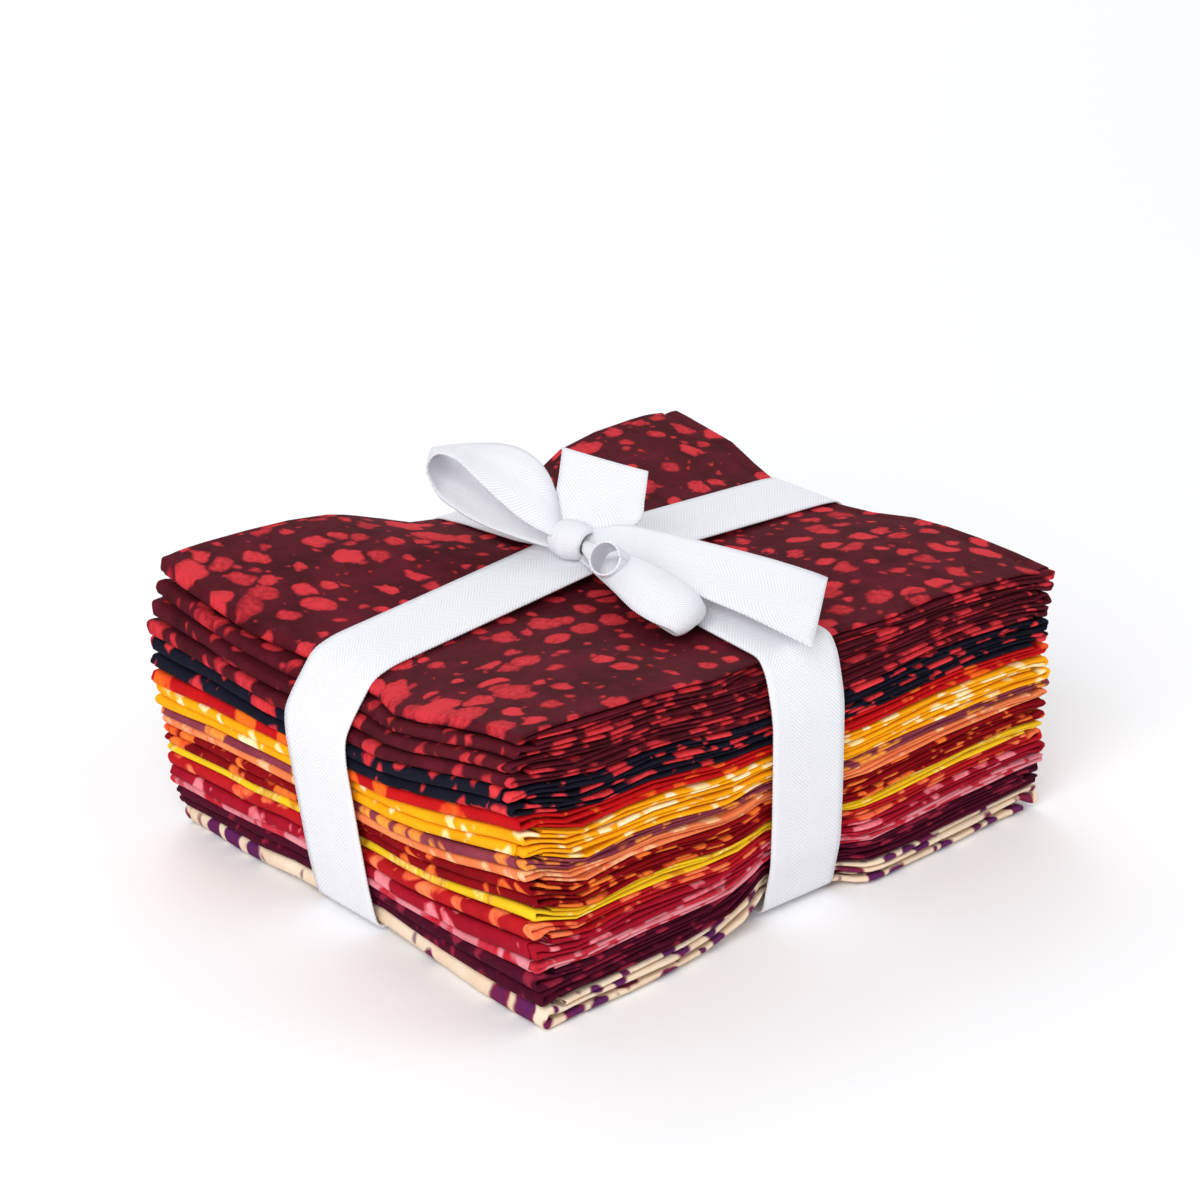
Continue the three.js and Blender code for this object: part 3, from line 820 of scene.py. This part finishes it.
stack_points = [fold_points(slab) for slab in slabs]
print("highest point of the cloth:", round(max(points[..., 2].max() for points in stack_points), 1), "mm")

# %% [markdown]
# ## A cut of cloth as a grid
# One helper makes every sheet here. It adds a grid, moves its points into place, and writes
# the place on the flat cut into the UV map. The thickness could be modelled by hand, but a
# Solidify modifier adds it evenly to both sides, and the cloth stays where it was folded.

# %% A cut of cloth as a grid
def length_along(points):
    """Length of a line from its first point up to each of its points."""
    return np.concatenate([[0], np.cumsum(np.linalg.norm(np.diff(points, axis=0), axis=1))])


def flat_place(points):
    """Place on the flat cut of each row and column, in metres, measured along the folded cloth."""
    u = length_along(points[:, points.shape[1] // 2])
    v = length_along(points[points.shape[0] // 2])
    return u / u[-1] * CUT_LENGTH, v / v[-1] * CUT_WIDTH


def cloth_from_grid(name, points, u, v, thickness, material):
    """A grid primitive whose points are moved into place, then given its thickness."""
    rows, columns = points.shape[:2]
    deselect_all()
    bpy.ops.mesh.primitive_grid_add(x_subdivisions=rows - 1, y_subdivisions=columns - 1, size=1)
    piece = bpy.context.object
    piece.name = name
    mesh = piece.data
    flat = np.empty(len(mesh.vertices) * 3)
    mesh.vertices.foreach_get("co", flat)
    flat = flat.reshape(-1, 3)
    row = np.rint((flat[:, 0] + 0.5) * (rows - 1)).astype(int)
    column = np.rint((flat[:, 1] + 0.5) * (columns - 1)).astype(int)
    piece.location = (0, 0, 0)
    mesh.vertices.foreach_set("co", points[row, column].ravel())
    corners = np.empty(len(mesh.loops), dtype=np.int32)
    mesh.loops.foreach_get("vertex_index", corners)
    place = np.stack([u[row[corners]], v[column[corners]]], axis=-1)
    mesh.uv_layers[0].data.foreach_set("uv", place.ravel())
    mesh.uv_layers[0].name = "UVMap"
    mesh.update()
    solid = piece.modifiers.new("thickness", "SOLIDIFY")
    solid.thickness = thickness
    solid.offset = 0
    bpy.ops.object.modifier_apply(modifier=solid.name)
    bpy.ops.object.shade_smooth()
    mesh.materials.clear()
    mesh.materials.append(material)
    return piece


print("a fat quarter is cut", round(CUT_WIDTH, 3), "by", round(CUT_LENGTH, 3), "m")


# %% Build the twenty fat quarters
for slab, points in zip(slabs, stack_points):
    placed = (points + PLAN_SHIFT) * MM
    u, v = flat_place(placed)
    name = slab.node.replace("fat_quarter", "folded_cloth")
    piece = cloth_from_grid(name, placed, u, v, CLOTH * MM, cotton(slab.name, slab.index + 1))
    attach(piece, "root")
    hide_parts(slab.node)

# %% [markdown]
# ## The ribbon
# One length of white cotton twill tape, an inch wide. Its herringbone weave shows as slanting
# ribs that turn back every few millimetres. It goes round the stack both ways, so each run is
# found from the cloth itself: a tight ribbon follows the convex outline of what it ties, a
# little outside it. The runs rise to the knot like a low tent, as a pulled bow makes them.

# %% Twill finish
RIBBON_WIDTH = 25.4
RIBBON_THICK = 0.5
ACROSS = np.linspace(-0.5, 0.5, 13)
RIB_PITCH = 0.0011
STRIPE_WIDTH = 0.00635


def build_herringbone():
    """Height of slanting ribs that turn back in stripes along the tape, and their painted shade."""
    inputs = [
        ("Place", "NodeSocketVector", None),
        ("Rib Pitch", "NodeSocketFloat", RIB_PITCH),
        ("Stripe", "NodeSocketFloat", STRIPE_WIDTH),
    ]
    outputs = [("Height", "NodeSocketFloat"), ("Shade", "NodeSocketFloat")]
    group, start, end = new_group("herringbone", inputs, outputs)
    parts = group.nodes.new("ShaderNodeSeparateXYZ")
    group.links.new(start.outputs["Place"], parts.inputs[0])
    zigzag = math_node(group, "PINGPONG", parts.outputs[1], start.outputs["Stripe"])
    slant = math_node(group, "ADD", parts.outputs[0], zigzag)
    turns = math_node(group, "DIVIDE", slant, start.outputs["Rib Pitch"])
    rib = math_node(group, "SINE", math_node(group, "MULTIPLY", turns, 2 * math.pi))
    fuzz = noise_node(group, start.outputs["Place"], 1500.0, 2.0, 0.6).outputs["Fac"]
    height = math_node(group, "MULTIPLY_ADD", rib, 0.5, fuzz)
    # Shade is 0 in a groove and 1 on a rib's crest, and paints shade into the grooves.
    shade = math_node(group, "MULTIPLY_ADD", rib, 0.5, 0.5)
    group.links.new(height, end.inputs["Height"])
    group.links.new(shade, end.inputs["Shade"])
    return group


herringbone = build_herringbone()


def twill_tape():
    """White cotton tape, with painted shade in the grooves between its ribs."""
    material, shader, _, weave = woven("twill_tape", herringbone, 0.8, 0.2, 0.4, 0.00025)
    tree = material.node_tree
    # The darker of the two colours is painted shade in the grooves; the tape itself is evenly white.
    tone = mix_colour(tree, weave.outputs["Shade"], colour(221, 221, 226), colour(238, 238, 242))
    tree.links.new(tone, shader.inputs["Base Color"])
    return material


ribbon_finish = twill_tape()
print("the ribbon's ribs are", RIB_PITCH / MM, "mm apart")

# %% [markdown]
# ## A stretch of ribbon
# Blender can sweep a profile along a curve, but a swept ribbon twists where it likes. Here a
# stretch is a grid again, with a width vector at each point of its middle line that says
# which way the ribbon spreads, and an arch across it, because pulled tape cups a little.

# %% Curves and strips
def evenly_along(points, count):
    """Evenly spaced points on a smooth curve; the first three values of each are its place."""
    points = np.asarray(points, float)
    at = length_along(points[:, :3])
    slopes = np.gradient(points, at, axis=0)
    query = np.linspace(0, at[-1], count)
    cell = np.clip(np.searchsorted(at, query) - 1, 0, len(at) - 2)
    width = (at[cell + 1] - at[cell])[:, None]
    t = (query - at[cell])[:, None] / width
    return cubic(t, points[cell], slopes[cell] * width, points[cell + 1], slopes[cell + 1] * width)


def strip_grid(centres, widths, arches):
    """Grid of a strip from its middle line, its width vectors and how much it arches across."""
    tangents = np.gradient(centres, axis=0)
    normals = np.cross(tangents, widths)
    normals = normals / np.linalg.norm(normals, axis=1)[:, None]
    side = ACROSS[None, :, None]
    arch = arches[:, None, None] * (1 - 4 * side**2)
    return centres[:, None] + widths[:, None] * side + normals[:, None] * arch


def ribbon_strip(name, grid):
    """One stretch of the ribbon from its grid in plan millimetres."""
    placed = (grid + PLAN_SHIFT) * MM
    u = length_along(placed[:, placed.shape[1] // 2])
    v = (ACROSS + 0.5) * RIBBON_WIDTH * MM
    piece = cloth_from_grid(name, placed, u, v, RIBBON_THICK * MM, ribbon_finish)
    print(name, round(u[-1] / MM), "mm long")
    return piece, u[-1]


print("a strip has", len(ACROSS), "points across")

# %% [markdown]
# ## Two runs round the stack
# Each run is as wide as the ribbon and lies on whatever cloth is under that width. Its path
# is the convex outline of those points, which is how a string would lie round them, moved
# outwards by a small circle and then smoothed. The knot pulls both runs up a little on top.

# %% The two runs round the stack
KNOT = np.array([-7.9, 7.0, 82.6])
TENT_HEIGHT = 76.6
UNDER_RIBBON = 13.4
OFF_CLOTH = 0.95
PATH_STEP = 1.2
STACK_TOP = 73
CROSSING_LIFT = 0.6
ALL_POINTS = np.concatenate([points.reshape(-1, 3) for points in stack_points])


def convex_outline(points):
    """Convex outline of flat points, anticlockwise."""
    points = points[np.lexsort((points[:, 1], points[:, 0]))]

    def chain(ordered):
        kept = []
        for point in ordered:
            while len(kept) > 1:
                first, second = kept[-1] - kept[-2], point - kept[-1]
                if first[0] * second[1] - first[1] * second[0] > 0:
                    break
                kept.pop()
            kept.append(point)
        return kept[:-1]

    return np.array(chain(points) + chain(points[::-1]))


def round_outline(section, start, distance):
    """The convex outline of a section, kept a distance outside it and begun nearest to start."""
    angle = np.linspace(0, 2 * math.pi, 24, endpoint=False)
    around = distance * np.stack([np.cos(angle), np.sin(angle)], axis=1)
    outline = convex_outline(section)
    outline = convex_outline((outline[:, None] + around).reshape(-1, 2))
    loop = np.vstack([outline, outline[:1]])
    at = length_along(loop)
    query = np.linspace(0, at[-1], int(at[-1] / PATH_STEP), endpoint=False)
    path = np.stack([np.interp(query, at, loop[:, k]) for k in (0, 1)], axis=1)
    for _ in range(3):
        path = (np.roll(path, 1, axis=0) + path * 2 + np.roll(path, -1, axis=0)) / 4
    nearest = np.argmin(np.linalg.norm(path - np.asarray(start), axis=1))
    path = np.roll(path, -nearest, axis=0)
    return np.vstack([path, path[:1]])


def lean(x, z):
    """How far the run over the left end slants towards the front, most at its foot."""
    height = np.clip(z, 0, STACK_TOP) / STACK_TOP
    return -(2.8 - height**3 + 1.9 * (1 - height) ** 3) * (1 - smoothstep(-90, 40, x))


def run_path(axis, off, peak):
    """Places and heights of a run, round the points whose distance off its line is small."""
    section = ALL_POINTS[np.abs(off) < UNDER_RIBBON][:, [axis, 2]]
    section = np.vstack([section, [[peak, TENT_HEIGHT]]])
    path = round_outline(section, (KNOT[axis], 0), OFF_CLOTH)
    return path[:, 0], path[:, 1]


def run_along_x():
    """The run round the long way, over both ends."""
    off = ALL_POINTS[:, 1] - RIBBON_Y["offset"] - RIBBON_Y["skew"] * ALL_POINTS[:, 0]
    off = off - lean(ALL_POINTS[:, 0], ALL_POINTS[:, 2])
    x, z = run_path(0, off, KNOT[0] + 2)
    y = RIBBON_Y["offset"] + RIBBON_Y["skew"] * x + lean(x, z)
    widths = np.tile([0.0, RIBBON_WIDTH, 0.0], (len(x), 1))
    return strip_grid(np.stack([x, y, z], axis=1), widths, np.zeros(len(x)))


def run_along_y():
    """The run round the short way, over the front and the back."""
    off = ALL_POINTS[:, 0] - RIBBON_X["offset"] - RIBBON_X["skew"] * ALL_POINTS[:, 1]
    y, z = run_path(1, off, KNOT[1])
    # Where the two runs cross, this one passes over the other on top and under it below.
    crossing = near_ribbon(y - RIBBON_Y["offset"], 24.0)
    z = z + np.where(z > STACK_TOP / 2, 1, -1) * CROSSING_LIFT * crossing
    x = RIBBON_X["offset"] + RIBBON_X["skew"] * y
    widths = np.tile([RIBBON_WIDTH, 0.0, 0.0], (len(y), 1))
    return strip_grid(np.stack([x, y, z], axis=1), widths, np.zeros(len(y)))


ribbon_parts = [
    ribbon_strip("run_along_x", run_along_x()),
    ribbon_strip("run_along_y", run_along_y()),
]

# %% [markdown]
# ## The bow
# A bow is drawn best stretch by stretch: a loop is a strip that leaves the knot, turns and comes back.
# Each stretch is a short list of stations, and each station says where the middle of the
# ribbon is, which way and how far it spreads, and how much it arches. A smooth curve joins
# the stations. The ribbon is pinched narrow at the knot and opens to its full width.

# %% Stations of the bow
# Each row: middle x, y, z, width vector x, y, z, and arch, in millimetres of the plan.
LEFT_LOOP = [
    (-8.0, 9.5, 83.0, 4.4, 5.0, 0.5, 0.6),
    (-9.0, 15.0, 90.4, 10.8, 12.2, 10.5, -1.0),
    (-10.2, 24.4, 94.0, 15.2, 16.0, 11.5, -1.4),
    (-11.3, 31.8, 95.8, 16.8, 17.5, 7.5, -1.2),
    (-12.5, 40.2, 97.2, 17.4, 18.2, 1.0, -1.0),
    (-13.6, 48.5, 98.0, 16.5, 18.0, -4.8, -0.6),
    (-15.0, 57.0, 95.8, 16.5, 18.5, -6.0, -0.3),
    (-15.0, 59.6, 93.0, 16.7, 18.9, -2.5, 0.0),
    (-14.2, 57.0, 90.6, 16.5, 18.8, 3.4, 0.3),
    (-13.3, 49.4, 87.8, 16.5, 18.8, 4.7, 0.5),
    (-12.0, 38.0, 84.8, 14.8, 16.9, 3.8, 0.8),
    (-10.4, 25.0, 82.4, 11.8, 13.4, 1.2, 1.0),
    (-9.1, 16.0, 80.9, 6.8, 7.7, 1.1, 1.0),
    (-8.2, 9.5, 80.4, 4.4, 5.0, 0.5, 0.6),
]
RIGHT_LOOP = [
    (-9.0, 0.6, 83.0, 4.6, 3.7, 0.8, 0.8),
    (-13.2, -12.5, 83.0, 11.4, 8.4, 1.4, 1.6),
    (-15.4, -23.3, 83.4, 16.7, 11.4, 2.4, 2.6),
    (-16.4, -32.0, 82.8, 20.3, 13.3, 2.6, 3.4),
    (-15.8, -39.2, 81.4, 20.6, 13.1, 2.2, 3.6),
    (-14.4, -44.0, 79.9, 19.6, 12.7, 1.5, 3.8),
    (-13.4, -45.4, 78.4, 18.6, 11.8, 1.3, 4.0),
    (-12.6, -43.4, 77.4, 17.4, 11.7, 1.8, 2.0),
    (-11.6, -34.1, 77.8, 16.4, 10.4, 2.6, 0.2),
    (-11.0, -17.7, 79.0, 11.6, 8.0, 2.0, 0.2),
    (-9.2, 1.1, 80.4, 4.6, 3.7, 0.8, 0.2),
]
STANDING_TAIL = [
    (-8.0, 8.0, 83.0, 4.0, -7.0, 0.0, 0.6),
    (-4.5, 6.5, 84.8, 10.0, -17.0, 0.0, 1.2),
    (-0.5, 5.8, 88.0, 12.2, -21.8, 0.0, 1.0),
    (3.4, 8.0, 93.5, 11.5, -22.5, -1.2, 0.8),
    (8.3, 11.8, 100.5, 10.2, -23.6, -3.0, 0.5),
]
LYING_TAIL = [
    (-8.0, 7.0, 84.0, 5.0, -3.0, 2.0, -0.6),
    (-3.0, -2.5, 85.0, 9.0, 0.0, 4.5, -1.2),
    (0.6, -14.0, 84.2, 13.0, 0.0, 5.5, -1.4),
    (3.4, -28.0, 83.6, 17.5, 0.0, 5.5, -1.2),
    (6.4, -43.0, 82.8, 22.5, 0.0, 5.2, -0.8),
    (9.0, -56.0, 81.8, 24.8, 3.0, 5.0, -0.4),
    (9.8, -70.0, 80.8, 28.0, 22.5, 4.4, 0.0),
]
BOW = [
    ("left_loop", LEFT_LOOP, 64),
    ("right_loop", RIGHT_LOOP, 64),
    ("standing_tail", STANDING_TAIL, 24),
    ("lying_tail", LYING_TAIL, 44),
]
for name, stations, count in BOW:
    curve = evenly_along(stations, count)
    grid = strip_grid(curve[:, 0:3], curve[:, 3:6], curve[:, 6])
    ribbon_parts.append(ribbon_strip(name, grid))

# %% [markdown]
# ## The knot
# The knot is the ribbon wound once round itself, so it is a short band with its width along
# the axis, thinner towards its ends and pleated where it is squeezed. It could be sculpted,
# but a ring with those two effects has the same look and keeps its true length. The upper
# edge of the right loop curls into a small open roll beside it, made by the same function.

# %% Knot and rolled edge
RING_POINTS = 49
PLEATS = 3


def ring_grid(centre, first, second, depth, radii, turns, taper, pleat):
    """A band of ribbon wound round an axis, with its width along that axis."""
    angle = np.linspace(0, 2 * math.pi * turns, RING_POINTS)
    centre, first, second, depth = (np.asarray(v, float) for v in (centre, first, second, depth))
    out = radii[0] * np.cos(angle)[:, None] * first + radii[1] * np.sin(angle)[:, None] * second
    creep = np.linspace(-0.5, 0.5, RING_POINTS)[:, None] * 0.06 * depth
    side = ACROSS[None, :, None]
    barrel = 1 - taper * (2 * np.abs(side)) ** 2.2
    pleats = 1 + pleat * np.cos(side * 2 * math.pi * PLEATS + np.sin(angle * 1.5)[:, None, None])
    return centre + (out + creep)[:, None] * barrel * pleats + depth * side


knot_grid = ring_grid(
    KNOT, (1.0, 0.25, 0.0), (0.0, 0.0, 1.0), (-2.6, 10.4, 0.6),
    radii=(6.0, 5.0), turns=1.05, taper=0.34, pleat=0.035,
)
rolled_edge_grid = ring_grid(
    (-16.6, -18.6, 86.2), (0.65, -0.74, 0.15), (0.26, 0.29, 0.92), (8.4, 4.6, -5.8),
    radii=(4.0, 4.3), turns=1.0, taper=0.0, pleat=0.0,
)
ribbon_parts.append(ribbon_strip("knot", knot_grid))
ribbon_parts.append(ribbon_strip("rolled_edge", rolled_edge_grid))

# %% [markdown]
# ## One length of ribbon
# The real ribbon is a single length, so its stretches are joined into one piece, which keeps
# their UV maps.

# %% Join the ribbon into one length
deselect_all()
for part, _ in ribbon_parts:
    part.select_set(True)
ribbon = ribbon_parts[0][0]
bpy.context.view_layer.objects.active = ribbon
bpy.ops.object.join()
ribbon.name = "twill_ribbon"
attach(ribbon, "root")
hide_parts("ribbon")
